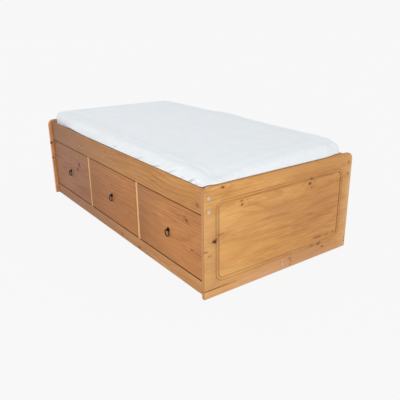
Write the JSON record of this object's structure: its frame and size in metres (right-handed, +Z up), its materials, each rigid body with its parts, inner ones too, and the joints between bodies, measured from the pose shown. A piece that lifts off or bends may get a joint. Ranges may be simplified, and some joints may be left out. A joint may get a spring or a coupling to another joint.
{
  "type": "cabin bed",
  "caption": "Low single cabin bed in waxed pine with routed end panels, a slatted base, drawers with iron ring pulls under the front rail, and a mattress in a white sheet.",
  "frame": {"origin": "on the floor, under the middle of the bed", "axes": "+X from the head to the foot, -Y out of the drawer side, +Z up"},
  "size_m": [1.9658, 1.008, 0.6306],
  "materials": {
    "waxed_pine": "honey-brown waxed pine, satin",
    "rail_pine": "waxed pine, satin, front boards",
    "bare_pine": "planed pine, bare",
    "black_iron": "black waxed iron",
    "zinc": "bright zinc plate",
    "white_cotton": "white fitted cotton sheet over a sprung mattress"
  },
  "bodies": {
    "bedstead": {"head_panel": "waxed_pine", "head_bolt_front_upper": "zinc", "head_bolt_front_lower": "zinc", "head_bolt_back_upper": "zinc", "head_bolt_back_lower": "zinc", "head_bolt_centre": "zinc", "foot_panel": "waxed_pine", "foot_bolt_front_upper": "zinc", "foot_bolt_front_lower": "zinc", "foot_bolt_back_upper": "zinc", "foot_bolt_back_lower": "zinc", "foot_bolt_centre": "zinc", "front_top_rail": "rail_pine", "back_top_rail": "waxed_pine", "front_plinth": "rail_pine", "back_bottom_rail": "waxed_pine", "centre_bottom_rail": "bare_pine", "divider_1": "waxed_pine", "divider_2": "waxed_pine", "runner_1_left": "bare_pine", "runner_1_right": "bare_pine", "runner_2_left": "bare_pine", "runner_2_right": "bare_pine", "runner_3_left": "bare_pine", "runner_3_right": "bare_pine", "slat_bearer_front": "bare_pine", "slat_bearer_back": "bare_pine", "slat_01": "bare_pine", "slat_02": "bare_pine", "slat_03": "bare_pine", "slat_04": "bare_pine", "slat_05": "bare_pine", "slat_06": "bare_pine", "slat_07": "bare_pine", "slat_08": "bare_pine", "slat_09": "bare_pine", "slat_10": "bare_pine", "slat_11": "bare_pine", "mattress": "white_cotton"},
    "drawer_1": {"drawer_1_front": "rail_pine", "drawer_1_left_side": "bare_pine", "drawer_1_right_side": "bare_pine", "drawer_1_back": "bare_pine", "drawer_1_bottom": "bare_pine", "drawer_1_screw_eye": "black_iron"},
    "pull_1": {"drawer_1_pull_ring": "black_iron"},
    "drawer_2": {"drawer_2_front": "rail_pine", "drawer_2_left_side": "bare_pine", "drawer_2_right_side": "bare_pine", "drawer_2_back": "bare_pine", "drawer_2_bottom": "bare_pine", "drawer_2_screw_eye": "black_iron"},
    "pull_2": {"drawer_2_pull_ring": "black_iron"},
    "drawer_3": {"drawer_3_front": "rail_pine", "drawer_3_left_side": "bare_pine", "drawer_3_right_side": "bare_pine", "drawer_3_back": "bare_pine", "drawer_3_bottom": "bare_pine", "drawer_3_screw_eye": "black_iron"},
    "pull_3": {"drawer_3_pull_ring": "black_iron"}
  },
  "joints": [
    {"name": "drawer_1_slide", "type": "slide", "parent": "bedstead", "child": "drawer_1", "axis": [0, -1, 0], "range_m": [0, 0.36]},
    {"name": "pull_1_swing", "type": "hinge", "parent": "drawer_1", "child": "pull_1", "pos_m": [-0.64667, -0.4945, 0.24775], "axis": [-1, 0, 0], "range_deg": [-8, 170]},
    {"name": "drawer_2_slide", "type": "slide", "parent": "bedstead", "child": "drawer_2", "axis": [0, -1, 0], "range_m": [0, 0.36]},
    {"name": "pull_2_swing", "type": "hinge", "parent": "drawer_2", "child": "pull_2", "pos_m": [0, -0.4945, 0.24775], "axis": [-1, 0, 0], "range_deg": [-8, 170]},
    {"name": "drawer_3_slide", "type": "slide", "parent": "bedstead", "child": "drawer_3", "axis": [0, -1, 0], "range_m": [0, 0.36]},
    {"name": "pull_3_swing", "type": "hinge", "parent": "drawer_3", "child": "pull_3", "pos_m": [0.64667, -0.4945, 0.24775], "axis": [-1, 0, 0], "range_deg": [-8, 170]}
  ]
}
